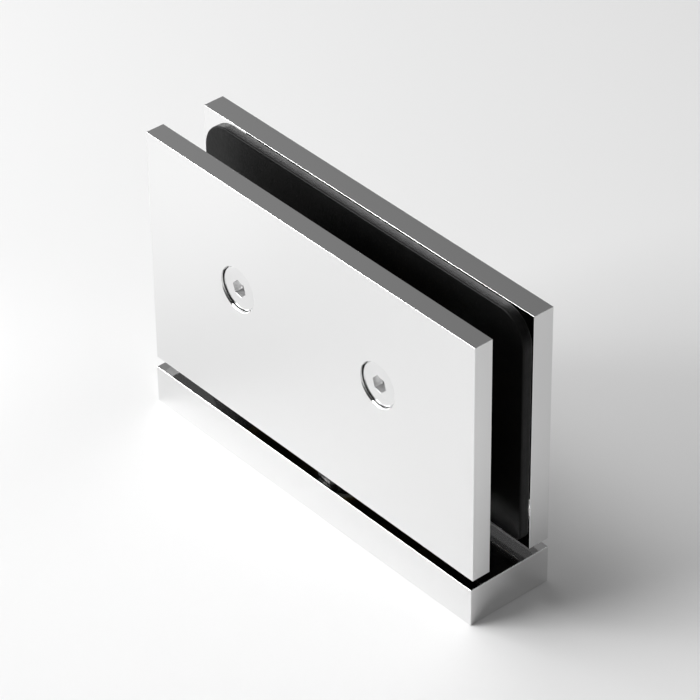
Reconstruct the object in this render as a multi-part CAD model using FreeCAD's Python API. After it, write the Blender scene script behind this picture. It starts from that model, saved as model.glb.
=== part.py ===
import FreeCAD, Part

# Pivot hinge for a frameless glass shower door. A flat base block is screwed to the floor
# and carries an upright post. A clamp of two plates grips the glass and turns on the post.
# Millimetres. X runs along the plates, Y from the front plate to the rear plate, Z up.
# The origin is on the post's axis, at the base block's underside.

import os
from math import cos, pi, sin

from FreeCAD import Placement, Rotation, Vector

# Clamp plates
plate_length = 114.3
plate_height = 65.6
front_plate_thickness = 5.2
rear_plate_thickness = 5.8
plate_bevel = 0.2

# Glass and the gaskets on each side of it
glass_thickness = 9.5
gasket_thickness = 1.4
gasket_inset = 1.7
gasket_corner_radius = 8.0
gasket_foot_radius = 1.5
gasket_edge_bevel = 0.5
gasket_cutout_margin = 1.0

# Base block: a little shorter than the plates and a little deeper than the clamp
base_height = 10.4
base_end_inset = 0.15
base_side_margin = 0.375
base_bevel = 0.25
floor_hole_radius = 2.75
floor_head_radius = 5.2
floor_hole_inset = 16.0

# Clearances: a fixed seat, a running fit, and a fixed piece beside a wall
seat_clearance = 0.02
running_clearance = 0.04
side_gap = 0.3

# Pivot post
post_radius = 4.0
post_flat_depth = 0.3
post_flange_radius = 7.0
post_flange_thickness = 1.5
post_spigot_radius = 5.0
post_spigot_half_width = 4.0
post_spigot_depth = 6.4
post_neck_radius = 3.0

# Bearings round the post
thrust_washer_thickness = 1.1
lower_bush_length = 8.0
lower_bush_wall = 0.9
upper_bush_length = 6.0
upper_bush_wall = 1.8
bush_shoulder = 0.6

# Washer and screw that keep the clamp on the post
retaining_washer_thickness = 1.0
retaining_washer_overlap = 1.3
retaining_screw_radius = 2.0
retaining_screw_length = 8.0
retaining_head_radius = 3.5
retaining_head_height = 2.0

# Hinge body between the plates
body_length = 62.0
body_height = 28.2
body_corner_radius = 6.0
body_front_clearance = 0.15

# Sprung plungers in the body's cross bore, which press on the post's flats
plunger_radius = 3.45
plunger_running_clearance = 0.05
plunger_length = 9.0
plunger_stub_radius = 1.9
plunger_stub_length = 2.0
plunger_gap = 0.03
detent_margin = 0.4
spring_wire_radius = 0.5
spring_turns = 5
spring_closed_turns = 1
spring_steps_per_turn = 8
spring_wire_sides = 6
grub_radius = 4.0
grub_length = 6.5
grub_recess = 0.3

# Countersunk socket screws, with a head cone of 90 degrees
head_rim = 0.3
head_sink = 0.6
head_relief = 0.6
clamp_screw_radius = 3.0
clamp_screw_head_radius = 5.65
clamp_screw_length = 16.0
clamp_screw_spacing = 49.6
clamp_screw_height = 37.4
hex_turn_deg = 12.5
post_screw_radius = 2.5
post_screw_head_radius = 4.8
post_screw_length = 12.0
hidden_head_sink = 0.3
hole_clearance = 0.3
thread_run_out = 1.0

# Cap screws that hold the hinge body to the rear plate
body_screw_radius = 2.0
body_screw_head_radius = 3.5
body_screw_head_height = 4.0
body_screw_length = 12.0
body_screw_end_distance = 9.0
body_screw_drop = 6.5

# Socket sizes across flats
clamp_screw_hex = 4.0
body_screw_hex = 3.0
post_screw_hex = 3.0
retaining_screw_hex = 2.5
grub_hex = 4.0
socket_depth_share = 0.6

# Bosses on the rear plate that the clamp screws enter, and the sleeves round them
boss_radius = 4.6
boss_end_gap = 0.6
sleeve_wall = 1.6
sleeve_end_gap = 0.1

# Places worked out from the sizes above
plate_gap = glass_thickness + 2 * gasket_thickness
clamp_depth = front_plate_thickness + plate_gap + rear_plate_thickness
front_face = -clamp_depth / 2
slot_front = front_face + front_plate_thickness
slot_rear = slot_front + plate_gap
rear_face = clamp_depth / 2
flange_top = base_height + post_flange_thickness
body_bottom = flange_top + thrust_washer_thickness + running_clearance
plate_bottom = body_bottom
plate_top = plate_bottom + plate_height
plate_half_length = plate_length / 2

base_half_length = plate_half_length - base_end_inset
base_half_width = clamp_depth / 2 + base_side_margin
floor_hole_x = base_half_length - floor_hole_inset

body_top = body_bottom + body_height
body_half_length = body_length / 2
body_front = slot_front + body_front_clearance

plunger_bore_radius = plunger_radius + plunger_running_clearance
lower_bush_top = body_bottom + lower_bush_length
detent_height = lower_bush_top + detent_margin + plunger_bore_radius
cam_top = detent_height + plunger_bore_radius + detent_margin
upper_bush_bottom = cam_top + bush_shoulder
upper_bush_top = upper_bush_bottom + upper_bush_length
post_top = upper_bush_top + running_clearance
lower_bush_radius = post_radius + running_clearance + lower_bush_wall
upper_bush_radius = post_neck_radius + running_clearance + upper_bush_wall
retaining_washer_radius = post_neck_radius + retaining_washer_overlap
retaining_washer_top = post_top + retaining_washer_thickness

plunger_nose = post_radius + plunger_gap
plunger_shoulder = plunger_nose + plunger_length
grub_outer_end = body_half_length - grub_recess
grub_inner_end = grub_outer_end - grub_length
clamp_screw_x = clamp_screw_spacing / 2
clamp_screw_z = plate_bottom + clamp_screw_height
clamp_screw_head_face = front_face + head_sink
body_screw_x = body_half_length - body_screw_end_distance
body_screw_z = body_top - body_screw_drop
body_screw_seat = body_front + hidden_head_sink + body_screw_head_height
boss_end = slot_front + boss_end_gap
sleeve_inner_radius = boss_radius + running_clearance
sleeve_radius = sleeve_inner_radius + sleeve_wall

UP = Vector(0, 0, 1)
BACK = Vector(0, 1, 0)
RIGHT = Vector(1, 0, 0)


def box(x_low, x_high, y_low, y_high, z_low, z_high):
    corner = Vector(x_low, y_low, z_low)
    return Part.makeBox(x_high - x_low, y_high - y_low, z_high - z_low, corner)


def turned(profile):
    """A solid of revolution about local Z from (radius, height) points."""
    points = [Vector(radius, 0, height) for radius, height in profile]
    face = Part.Face(Part.makePolygon(points + points[:1]))
    return face.revolve(Vector(0, 0, 0), UP, 360)


def tube(outer_radius, inner_radius, low, high):
    """A turned tube along local Z."""
    return turned([(inner_radius, low), (outer_radius, low), (outer_radius, high), (inner_radius, high)])


def along(shape, direction, start, turn_deg=0.0):
    """The shape with its local Z laid along a direction from a start point."""
    placed = shape.copy()
    turn = Rotation(UP, turn_deg)
    placed.Placement = Placement(start, Rotation(UP, direction).multiply(turn))
    return placed


def cylinder(radius, start, direction, length):
    return Part.makeCylinder(radius, length, start, direction)


def hexagon(width, depth):
    """A hexagonal prism up local Z, with a corner on local X."""
    corner_radius = width / 2 / cos(pi / 6)
    points = [Vector(corner_radius * cos(k * pi / 3), corner_radius * sin(k * pi / 3), 0) for k in range(7)]
    return Part.Face(Part.makePolygon(points)).extrude(Vector(0, 0, depth))


def edges_along(shape, direction):
    """The straight edges that run parallel to a direction."""
    found = []
    for edge in shape.Edges:
        if isinstance(edge.Curve, Part.Line) and abs(abs(edge.Curve.Direction.dot(direction)) - 1) < 1e-6:
            found.append(edge)
    return found


def countersunk_screw(radius, head_radius, length, hex_width):
    """A screw up local Z, with the top of its head at the local origin."""
    cone_end = head_rim + head_radius - radius
    screw = turned(
        [
            (0, 0),
            (head_radius, 0),
            (head_radius, head_rim),
            (radius, cone_end),
            (radius, length),
            (0, length),
        ]
    )
    return screw.cut(hexagon(hex_width, hex_width * socket_depth_share))


def countersunk_hole(hole_radius, head_radius, length, sink):
    """The hole round a countersunk screw, whose cone opens a sink's depth before its head."""
    seat_radius = head_radius + seat_clearance
    mouth = -sink - 1
    return turned(
        [
            (0, mouth),
            (seat_radius + head_rim - mouth, mouth),
            (hole_radius, head_rim + seat_radius - hole_radius),
            (hole_radius, length),
            (0, length),
        ]
    )


def recessed_hole(hole_radius, head_radius, length, sink, relief):
    """The same hole with a straight recess, relieved round the head before the cone begins."""
    recess_radius = head_radius + side_gap
    recess_floor = head_rim + relief
    seat_radius = head_radius + seat_clearance - relief
    return turned(
        [
            (0, -sink - 1),
            (recess_radius, -sink - 1),
            (recess_radius, recess_floor),
            (seat_radius, recess_floor),
            (hole_radius, recess_floor + seat_radius - hole_radius),
            (hole_radius, length),
            (0, length),
        ]
    )


def cap_screw(radius, head_radius, head_height, length, hex_width):
    """A cap screw up local Z, with the underside of its head at the local origin."""
    screw = turned(
        [
            (0, -head_height),
            (head_radius, -head_height),
            (head_radius, 0),
            (radius, 0),
            (radius, length),
            (0, length),
        ]
    )
    socket = hexagon(hex_width, head_height * socket_depth_share)
    socket.translate(Vector(0, 0, -head_height))
    return screw.cut(socket)


def spigot(radius, half_width, low, high):
    """A round spigot with a flat on the front and back."""
    round_part = cylinder(radius, Vector(0, 0, low), UP, high - low)
    return round_part.common(box(-radius, radius, -half_width, half_width, low, high))


def arched_block(half_length, y_low, y_high, z_low, z_high, corner_radius):
    """A block whose two upper corners are rounded."""
    block = box(-half_length, half_length, y_low, y_high, z_low, z_high)
    upper = [edge for edge in edges_along(block, BACK) if edge.CenterOfMass.z > (z_low + z_high) / 2]
    return block.makeFillet(corner_radius, upper)


def base_plate():
    """Floor block with two countersunk floor holes and a pocket for the post's spigot."""
    block = box(-base_half_length, base_half_length, -base_half_width, base_half_width, 0, base_height)
    block = block.makeChamfer(base_bevel, block.Edges)
    floor_hole = countersunk_hole(floor_hole_radius, floor_head_radius, base_height + 1, 0)
    for side in (-1, 1):
        top = Vector(side * floor_hole_x, 0, base_height)
        block = block.cut(along(floor_hole, -UP, top))
    pocket_floor = base_height - post_spigot_depth - seat_clearance
    pocket = spigot(
        post_spigot_radius + seat_clearance,
        post_spigot_half_width + seat_clearance,
        pocket_floor,
        base_height + 1,
    )
    screw_hole = countersunk_hole(
        post_screw_radius + hole_clearance, post_screw_head_radius, base_height, hidden_head_sink
    )
    return block.cut(pocket).cut(along(screw_hole, UP, Vector(0, 0, hidden_head_sink)))


def pivot_post():
    """Turned steel post: spigot, flange, lower journal, four detent flats and a neck."""
    spigot_bottom = base_height - post_spigot_depth
    stem = turned(
        [
            (0, base_height),
            (post_flange_radius, base_height),
            (post_flange_radius, flange_top),
            (post_radius, flange_top),
            (post_radius, cam_top),
            (post_neck_radius, cam_top),
            (post_neck_radius, post_top),
            (0, post_top),
        ]
    )
    post = stem.fuse(spigot(post_spigot_radius, post_spigot_half_width, spigot_bottom, base_height))
    reach = 2 * post_radius
    flat = box(post_radius - post_flat_depth, reach, -reach, reach, lower_bush_top, cam_top)
    for quarter in range(4):
        turned_flat = flat.copy()
        turned_flat.rotate(Vector(0, 0, 0), UP, 90 * quarter)
        post = post.cut(turned_flat)
    lower_thread = post_screw_length + hidden_head_sink + thread_run_out
    post = post.cut(cylinder(post_screw_radius + seat_clearance, Vector(0, 0, 0), UP, lower_thread))
    upper_thread = retaining_screw_length - retaining_washer_thickness + thread_run_out
    upper_start = Vector(0, 0, post_top)
    return post.cut(cylinder(retaining_screw_radius + seat_clearance, upper_start, -UP, upper_thread))


def post_screw():
    """Countersunk screw that holds the post from under the base."""
    screw = countersunk_screw(post_screw_radius, post_screw_head_radius, post_screw_length, post_screw_hex)
    return along(screw, UP, Vector(0, 0, hidden_head_sink))


def thrust_washer():
    """Plastic washer that carries the clamp on the post's flange."""
    washer_top = flange_top + thrust_washer_thickness
    return tube(post_flange_radius, post_radius + running_clearance, flange_top, washer_top)


def retaining_washer():
    """Steel washer on the post's end, wide enough to stop at the upper bush."""
    hole_radius = retaining_screw_radius + running_clearance
    return tube(retaining_washer_radius, hole_radius, post_top, retaining_washer_top)


def retaining_screw():
    """Low cap screw down into the post's end."""
    screw = cap_screw(
        retaining_screw_radius,
        retaining_head_radius,
        retaining_head_height,
        retaining_screw_length,
        retaining_screw_hex,
    )
    return along(screw, -UP, Vector(0, 0, retaining_washer_top))


def hinge_body():
    """Block between the plates: stepped pivot bore, threaded cross bore and two screw holes."""
    block = arched_block(
        body_half_length, body_front, slot_rear, body_bottom, body_top, body_corner_radius
    )
    pivot_bore = turned(
        [
            (0, body_bottom - 1),
            (lower_bush_radius + seat_clearance, body_bottom - 1),
            (lower_bush_radius + seat_clearance, lower_bush_top),
            (post_radius + side_gap, lower_bush_top),
            (post_radius + side_gap, upper_bush_bottom),
            (upper_bush_radius + seat_clearance, upper_bush_bottom),
            (upper_bush_radius + seat_clearance, body_top + 1),
            (0, body_top + 1),
        ]
    )
    block = block.cut(pivot_bore)
    block = block.cut(
        cylinder(plunger_bore_radius, Vector(-body_length, 0, detent_height), RIGHT, 2 * body_length)
    )
    for side in (-1, 1):
        thread_start = Vector(side * (grub_inner_end - thread_run_out), 0, detent_height)
        block = block.cut(
            cylinder(grub_radius + seat_clearance, thread_start, side * RIGHT, body_length)
        )
        head_seat = Vector(side * body_screw_x, body_screw_seat, body_screw_z)
        block = block.cut(cylinder(body_screw_head_radius + side_gap, head_seat, -BACK, plate_gap))
        block = block.cut(cylinder(body_screw_radius + hole_clearance, head_seat, BACK, plate_gap))
    return block


def lower_bush():
    """Bush round the post's lower journal."""
    return tube(lower_bush_radius, post_radius + running_clearance, body_bottom, lower_bush_top)


def upper_bush():
    """Bush round the post's neck, seated on the shoulder above the plungers."""
    return tube(
        upper_bush_radius, post_neck_radius + running_clearance, upper_bush_bottom, upper_bush_top
    )


def plunger(side):
    """Plunger with a flat nose to the post and a stub that centres its spring."""
    body = turned(
        [
            (0, 0),
            (plunger_radius, 0),
            (plunger_radius, plunger_length),
            (plunger_stub_radius, plunger_length),
            (plunger_stub_radius, plunger_length + plunger_stub_length),
            (0, plunger_length + plunger_stub_length),
        ]
    )
    return along(body, side * RIGHT, Vector(side * plunger_nose, 0, detent_height))


def spring(side):
    """Compression spring with closed end turns, as ruled stretches between wire sections."""
    coil_radius = plunger_bore_radius - side_gap - spring_wire_radius
    first = spring_wire_radius + seat_clearance
    free_rise = grub_inner_end - plunger_shoulder - 2 * first
    closed_rise = 2 * spring_wire_radius + running_clearance
    open_turns = spring_turns - 2 * spring_closed_turns
    open_rise = (free_rise - 2 * spring_closed_turns * closed_rise) / open_turns
    sections = []
    height = first
    for step in range(spring_turns * spring_steps_per_turn + 1):
        turn = step / spring_steps_per_turn
        closed = turn < spring_closed_turns or turn >= spring_turns - spring_closed_turns
        angle = 2 * pi * turn
        outward = Vector(cos(angle), sin(angle), 0)
        centre = coil_radius * outward + Vector(0, 0, height)
        points = []
        for k in range(spring_wire_sides):
            around = 2 * pi * (k + 0.5) / spring_wire_sides
            rim = cos(around) * outward + Vector(0, 0, sin(around))
            points.append(centre + spring_wire_radius * rim)
        sections.append(Part.makePolygon(points + points[:1]))
        height += (closed_rise if closed else open_rise) / spring_steps_per_turn
    coil = Part.makeLoft(sections, True, True)
    return along(coil, side * RIGHT, Vector(side * plunger_shoulder, 0, detent_height))


def grub_screw(side):
    """Socket screw that closes the cross bore and loads the spring."""
    socket_depth = grub_hex * socket_depth_share
    socket = hexagon(grub_hex, socket_depth)
    socket.translate(Vector(0, 0, grub_length - socket_depth))
    screw = cylinder(grub_radius, Vector(0, 0, 0), UP, grub_length).cut(socket)
    return along(screw, side * RIGHT, Vector(side * grub_inner_end, 0, detent_height))


def body_screw(side):
    """Cap screw through the hinge body into the rear plate."""
    screw = cap_screw(
        body_screw_radius,
        body_screw_head_radius,
        body_screw_head_height,
        body_screw_length,
        body_screw_hex,
    )
    return along(screw, BACK, Vector(side * body_screw_x, body_screw_seat, body_screw_z))


def bevelled_plate(y_low, y_high):
    plate = box(-plate_half_length, plate_half_length, y_low, y_high, plate_bottom, plate_top)
    return plate.makeChamfer(plate_bevel, plate.Edges)


def front_plate():
    """Outer plate with the two countersunk recesses of the clamp screws."""
    plate = bevelled_plate(front_face, slot_front)
    hole = recessed_hole(
        clamp_screw_radius + hole_clearance,
        clamp_screw_head_radius,
        front_plate_thickness + 1,
        head_sink,
        head_relief,
    )
    for side in (-1, 1):
        head = Vector(side * clamp_screw_x, clamp_screw_head_face, clamp_screw_z)
        plate = plate.cut(along(hole, BACK, head))
    return plate


def rear_plate():
    """Inner plate with two tapped bosses for the clamp screws and two tapped body holes."""
    plate = bevelled_plate(slot_rear, rear_face)
    clamp_thread = clamp_screw_head_face + clamp_screw_length + thread_run_out - boss_end
    body_thread = body_screw_seat + body_screw_length + seat_clearance - slot_rear
    for side in (-1, 1):
        boss_start = Vector(side * clamp_screw_x, boss_end, clamp_screw_z)
        boss_length = slot_rear - boss_end
        plate = plate.fuse(cylinder(boss_radius, boss_start, BACK, boss_length + plate_bevel))
        plate = plate.cut(
            cylinder(clamp_screw_radius + seat_clearance, boss_start, BACK, clamp_thread)
        )
        body_start = Vector(side * body_screw_x, slot_rear, body_screw_z)
        plate = plate.cut(cylinder(body_screw_radius + seat_clearance, body_start, BACK, body_thread))
    return plate.removeSplitter()


def gasket(plate_side, glass_side):
    """Rubber sheet on a plate's inner face, cut out round the hinge body and the sleeves."""
    sheet = box(
        gasket_inset - plate_half_length,
        plate_half_length - gasket_inset,
        min(plate_side, glass_side),
        max(plate_side, glass_side),
        plate_bottom + gasket_inset,
        plate_top - gasket_inset,
    )
    middle = (plate_bottom + plate_top) / 2
    upper = [edge for edge in edges_along(sheet, BACK) if edge.CenterOfMass.z > middle]
    sheet = sheet.makeFillet(gasket_corner_radius, upper)
    lower = [edge for edge in edges_along(sheet, BACK) if edge.CenterOfMass.z < middle]
    sheet = sheet.makeFillet(gasket_foot_radius, lower)
    rim = [edge for edge in sheet.Edges if abs(edge.CenterOfMass.y - glass_side) < 1e-6]
    sheet = sheet.makeChamfer(gasket_edge_bevel, rim)
    cutout = arched_block(
        body_half_length + gasket_cutout_margin,
        front_face,
        rear_face,
        0,
        body_top + gasket_cutout_margin,
        body_corner_radius + gasket_cutout_margin,
    )
    sheet = sheet.cut(cutout)
    ear_radius = sleeve_radius + side_gap
    for side in (-1, 1):
        ear_start = Vector(side * clamp_screw_x, front_face, clamp_screw_z)
        sheet = sheet.cut(cylinder(ear_radius, ear_start, BACK, clamp_depth))
        ear_side = side * clamp_screw_x
        channel = box(
            ear_side - ear_radius, ear_side + ear_radius, front_face, rear_face, body_bottom, clamp_screw_z
        )
        sheet = sheet.cut(channel)
    return sheet


def clamp_screw(side):
    """Countersunk screw through the front plate into the rear plate's boss."""
    screw = countersunk_screw(
        clamp_screw_radius, clamp_screw_head_radius, clamp_screw_length, clamp_screw_hex
    )
    head = Vector(side * clamp_screw_x, clamp_screw_head_face, clamp_screw_z)
    return along(screw, BACK, head, hex_turn_deg)


def sleeve(side):
    """Plastic sleeve that keeps the glass off a boss."""
    length = plate_gap - 2 * sleeve_end_gap
    start = Vector(side * clamp_screw_x, slot_front + sleeve_end_gap, clamp_screw_z)
    return along(tube(sleeve_radius, sleeve_inner_radius, 0, length), BACK, start)


nodes = {
    "base_plate": base_plate(),
    "pivot_post": pivot_post(),
    "post_screw": post_screw(),
    "thrust_washer": thrust_washer(),
    "retaining_washer": retaining_washer(),
    "retaining_screw": retaining_screw(),
    "hinge_body": hinge_body(),
    "lower_bush": lower_bush(),
    "upper_bush": upper_bush(),
    "front_plate": front_plate(),
    "rear_plate": rear_plate(),
    "front_gasket": gasket(slot_front, slot_front + gasket_thickness),
    "rear_gasket": gasket(slot_rear, slot_rear - gasket_thickness),
}
for side_name, side in (("left", -1), ("right", 1)):
    nodes["clamp_screw_" + side_name] = clamp_screw(side)
    nodes["sleeve_" + side_name] = sleeve(side)
    nodes["body_screw_" + side_name] = body_screw(side)
    nodes["plunger_" + side_name] = plunger(side)
    nodes["spring_" + side_name] = spring(side)
    nodes["grub_screw_" + side_name] = grub_screw(side)

os.makedirs("parts", exist_ok=True)
for name, shape in nodes.items():
    solids = shape.Solids
    print(name, len(solids), shape.isValid(), round(shape.Volume, 2))
    kept = solids[0] if len(solids) == 1 else shape
    kept.exportStep("parts/" + name + ".step")
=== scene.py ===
from math import ceil, cos, pi, radians, sin

import bmesh
import bpy
import numpy as np
from mathutils import Matrix, Vector


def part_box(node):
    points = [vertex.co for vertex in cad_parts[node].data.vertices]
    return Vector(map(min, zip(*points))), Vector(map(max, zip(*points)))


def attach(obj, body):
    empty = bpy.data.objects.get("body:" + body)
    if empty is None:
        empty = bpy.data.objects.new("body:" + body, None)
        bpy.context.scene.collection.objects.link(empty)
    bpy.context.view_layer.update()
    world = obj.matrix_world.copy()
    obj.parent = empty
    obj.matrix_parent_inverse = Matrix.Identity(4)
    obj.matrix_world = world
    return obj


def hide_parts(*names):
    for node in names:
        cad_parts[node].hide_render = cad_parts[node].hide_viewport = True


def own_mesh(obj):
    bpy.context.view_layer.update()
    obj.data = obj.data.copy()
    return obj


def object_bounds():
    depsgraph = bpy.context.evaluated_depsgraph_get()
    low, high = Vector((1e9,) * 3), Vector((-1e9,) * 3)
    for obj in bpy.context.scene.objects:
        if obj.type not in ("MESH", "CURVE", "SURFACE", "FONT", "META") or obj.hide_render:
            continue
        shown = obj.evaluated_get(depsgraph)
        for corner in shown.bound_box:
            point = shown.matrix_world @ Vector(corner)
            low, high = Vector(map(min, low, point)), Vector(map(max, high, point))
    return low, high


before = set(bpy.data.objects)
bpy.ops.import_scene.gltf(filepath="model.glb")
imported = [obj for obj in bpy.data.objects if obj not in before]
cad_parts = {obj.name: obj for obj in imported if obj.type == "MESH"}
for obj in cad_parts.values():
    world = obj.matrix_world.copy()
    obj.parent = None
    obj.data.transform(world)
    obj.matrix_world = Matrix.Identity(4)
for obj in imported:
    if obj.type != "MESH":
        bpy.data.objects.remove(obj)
cad_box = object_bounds()


# Base plate
# A slim brass block milled from bar, buffed and plated with bright chrome, screwed to the floor.
# Two countersunk floor holes and the pocket of the post open in its top, under the clamp.
MM = 0.001
BASE_EDGE = 0.15 * MM
RIM_EDGE = 0.12 * MM
COLUMN_STEP = radians(5.0)
CORNER_STEPS = 4
SHARP_ANGLE = radians(38.0)
MERGE = 0.0002 * MM
RIM_LEAD = 1.0 * MM
EASE_SHARE = 0.45
SMALLEST_SINE = 0.01
FLOOR_HOLE_INSET = 16.0 * MM
FLOOR_HOLE_RADIUS = 2.75 * MM
FLOOR_SINK_RADIUS = 5.52 * MM
POCKET_RADIUS = 5.02 * MM
POCKET_HALF_WIDTH = 4.02 * MM
POCKET_DEPTH = 6.42 * MM
POST_HOLE_RADIUS = 2.8 * MM
POST_SINK_RADIUS = 5.42 * MM
CHROME_COLOUR = (0.82, 0.82, 0.82, 1)
CHROME_ROUGHNESS = 0.03
CHROME_HAZE = 0.02
CHROME_WAVE = 0.000004


def box_of(node):
    """The lowest and highest corner of a node of the frame."""
    low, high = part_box(node)
    return np.array(low), np.array(high)


def eased(line, ease):
    """An open line of (radius, height) points with each inner corner P made a short parabola,
    (1-s)^2 A + 2s(1-s) P + s^2 B, where A and B lie an ease before and after the corner."""
    points = np.asarray(line, dtype=float)
    corner = points[1:-1]
    arms = []
    for other in (points[:-2], points[2:]):
        way = other - corner
        length = np.linalg.norm(way, axis=1, keepdims=True)
        arms.append(corner + way / length * np.minimum(ease, EASE_SHARE * length))
    s = np.linspace(0, 1, CORNER_STEPS)[None, :, None]
    bend = (1 - s) ** 2 * arms[0][:, None] + 2 * s * (1 - s) * corner[:, None] + s**2 * arms[1][:, None]
    return np.vstack([points[:1], bend.reshape(-1, 2), points[-1:]])


def skin(name, grids, closed=True, capped=False):
    """A mesh from grids of points (rows, columns, 3). Columns close on themselves, rows do when
    closed is set, and a cap fills the first and last row. A grid may come with a mask of its quads."""
    points, faces, start = [], [], 0
    for grid, keep in grids:
        rows, columns = grid.shape[:2]
        here = start + np.arange(rows * columns).reshape(rows, columns)
        beside = np.roll(here, -1, axis=1)
        quads = np.stack([here, beside, np.roll(beside, -1, axis=0), np.roll(here, -1, axis=0)], axis=-1)
        kept = np.ones((rows, columns), dtype=bool) if keep is None else keep.copy()
        kept[-1] &= closed
        faces += quads[kept].tolist()
        if capped:
            faces += [here[0].tolist(), here[-1].tolist()]
        points.append(grid.reshape(-1, 3))
        start += rows * columns
    mesh = bpy.data.meshes.new(name)
    mesh.from_pydata(np.vstack(points).tolist(), [], faces)
    shape = bmesh.new()
    shape.from_mesh(mesh)
    bmesh.ops.remove_doubles(shape, verts=shape.verts[:], dist=MERGE)
    bmesh.ops.dissolve_degenerate(shape, edges=shape.edges[:], dist=MERGE)
    bmesh.ops.recalc_face_normals(shape, faces=shape.faces[:])
    shape.to_mesh(mesh)
    shape.free()
    mesh.shade_smooth()
    mesh.set_sharp_from_angle(angle=SHARP_ANGLE)
    piece = bpy.data.objects.new(name, mesh)
    bpy.context.scene.collection.objects.link(piece)
    weighted = piece.modifiers.new("weighted normals", "WEIGHTED_NORMAL")
    weighted.keep_sharp = True
    return piece


def fit(piece, node, body, finish):
    """Gives a piece its finish and its place in the frame of the hinge."""
    piece.data.materials.append(finish)
    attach(piece, body)
    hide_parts(node)


def outline(low, high, origin, outer, edge):
    """Points of a rectangle seen from an origin at equal angles, anticlockwise from its right side,
    drawn in by the edge on outer sides, and their outward normals. A shared side has none."""
    inset = [edge * side for side in outer]
    right, top, left, bottom = high[0] - inset[0], high[1] - inset[1], low[0] + inset[2], low[1] + inset[3]
    corners = np.array([(right, bottom), (right, top), (left, top), (left, bottom)])
    normals = np.array([(1, 0), (0, 1), (-1, 0), (0, -1)], dtype=float)
    places, ways = [], []
    for k in range(4):
        first, last = corners[k], corners[(k + 1) % 4]
        normal = normals[k]
        turn = [np.arctan2(*(end - origin)[::-1]) for end in (first, last)]
        sweep = (turn[1] - turn[0]) % (2 * pi)
        count = ceil(sweep / COLUMN_STEP)
        angle = turn[0] + sweep * np.arange(count + 1) / count
        ray = np.stack([np.cos(angle), np.sin(angle)], axis=1)
        reach = (first - origin) @ normal / (ray @ normal)
        side = origin + ray * reach[:, None]
        following = (k + 1) % 4
        if outer[k]:
            places.append(side)
            ways.append(np.tile(normal, (count + 1, 1)))
            if outer[following]:
                s = np.linspace(0, pi / 2, CORNER_STEPS + 1)[1:-1, None]
                places.append(np.tile(last, (len(s), 1)))
                ways.append(np.cos(s) * normal + np.sin(s) * normals[following])
        else:
            end = count if outer[following] else count + 1
            places.append(side[1:end])
            ways.append(np.zeros((end - 1, 2)))
    return np.vstack(places), np.vstack(ways)


def round_hole(centre, line):
    """Rows of circles round a centre, one for each (radius, height) point of a line."""

    def rows(angle):
        radius, height = np.asarray(line).T[:, :, None]
        flat = centre[0] + radius * np.cos(angle), centre[1] + radius * np.sin(angle)
        return np.stack([*flat, height + 0 * angle], axis=-1)

    return rows


def drilled_slab(name, cells, low_face, high_face, edge, order):
    """A slab cut into rectangular cells with one hole each. A cell is a closed surface of rows:
    up the hole's wall, out over the high face, round the eased edge by quarter circles,
    down the side, and back over the low face to the hole. Order names the world axes."""
    grids = []
    quarter = np.linspace(0, pi / 2, CORNER_STEPS + 1)
    reach = edge * np.concatenate([np.sin(quarter), np.sin(quarter[::-1])])
    height = np.concatenate(
        [high_face - edge + edge * np.cos(quarter), low_face + edge - edge * np.cos(quarter[::-1])]
    )
    for low, high, origin, outer, hole in cells:
        place, way = outline(np.array(low), np.array(high), np.array(origin), outer, edge)
        spread = place[None] + reach[:, None, None] * way[None]
        wall = np.dstack([spread, np.broadcast_to(height[:, None], spread.shape[:2])])
        inside = hole(np.arctan2(*(place - origin).T[::-1]))
        grid = np.vstack([inside, wall])
        keep = np.ones(grid.shape[:2], dtype=bool)
        shared = ~way.any(axis=1)
        keep[len(inside) : -1] = ~(shared | np.roll(shared, -1))
        grids.append((grid[:, :, order], keep))
    return skin(name, grids)


def material(name, colour, roughness, metallic=0.0):
    """A new Principled material, and its nodes, links and shader."""
    made = bpy.data.materials.new(name)
    made.use_nodes = True
    nodes, links = made.node_tree.nodes, made.node_tree.links
    shader = nodes["Principled BSDF"]
    shader.inputs["Base Color"].default_value = colour
    shader.inputs["Metallic"].default_value = metallic
    shader.inputs["Roughness"].default_value = roughness
    return made, nodes, links, shader


def effect(name, inputs, output, kind):
    """An empty shader group with named number inputs and one output."""
    group = bpy.data.node_groups.new(name, "ShaderNodeTree")
    for label, value in inputs:
        socket = group.interface.new_socket(label, in_out="INPUT", socket_type="NodeSocketFloat")
        socket.default_value = value
    group.interface.new_socket(output, in_out="OUTPUT", socket_type=kind)
    return group, group.nodes.new("NodeGroupInput"), group.nodes.new("NodeGroupOutput")


def maths(tree, operation, first, second):
    """A maths node in a node tree, fed by sockets or plain numbers."""
    node = tree.nodes.new("ShaderNodeMath")
    node.operation = operation
    for socket, source in zip(node.inputs, (first, second)):
        if isinstance(source, (int, float)):
            socket.default_value = source
        else:
            tree.links.new(source, socket)
    return node.outputs[0]


def cloud_of(group, scale, detail):
    """Cloudy noise on the object's own coordinates."""
    place = group.nodes.new("ShaderNodeTexCoord")
    cloud = group.nodes.new("ShaderNodeTexNoise")
    cloud.inputs["Detail"].default_value = detail
    group.links.new(place.outputs["Object"], cloud.inputs["Vector"])
    group.links.new(scale, cloud.inputs["Scale"])
    return cloud.outputs["Fac"]


def haze_effect():
    """Roughness = middle + spread x (cloud - 1/2)."""
    inputs = (("Middle", 0.05), ("Spread", 0.02), ("Scale", 60.0))
    group, enter, leave = effect("polishing_haze", inputs, "Roughness", "NodeSocketFloat")
    cloud = cloud_of(group, enter.outputs["Scale"], detail=4.0)
    drift = maths(group, "MULTIPLY", maths(group, "SUBTRACT", cloud, 0.5), enter.outputs["Spread"])
    group.links.new(maths(group, "ADD", drift, enter.outputs["Middle"]), leave.inputs["Roughness"])
    return group


HAZE = haze_effect()


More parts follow.
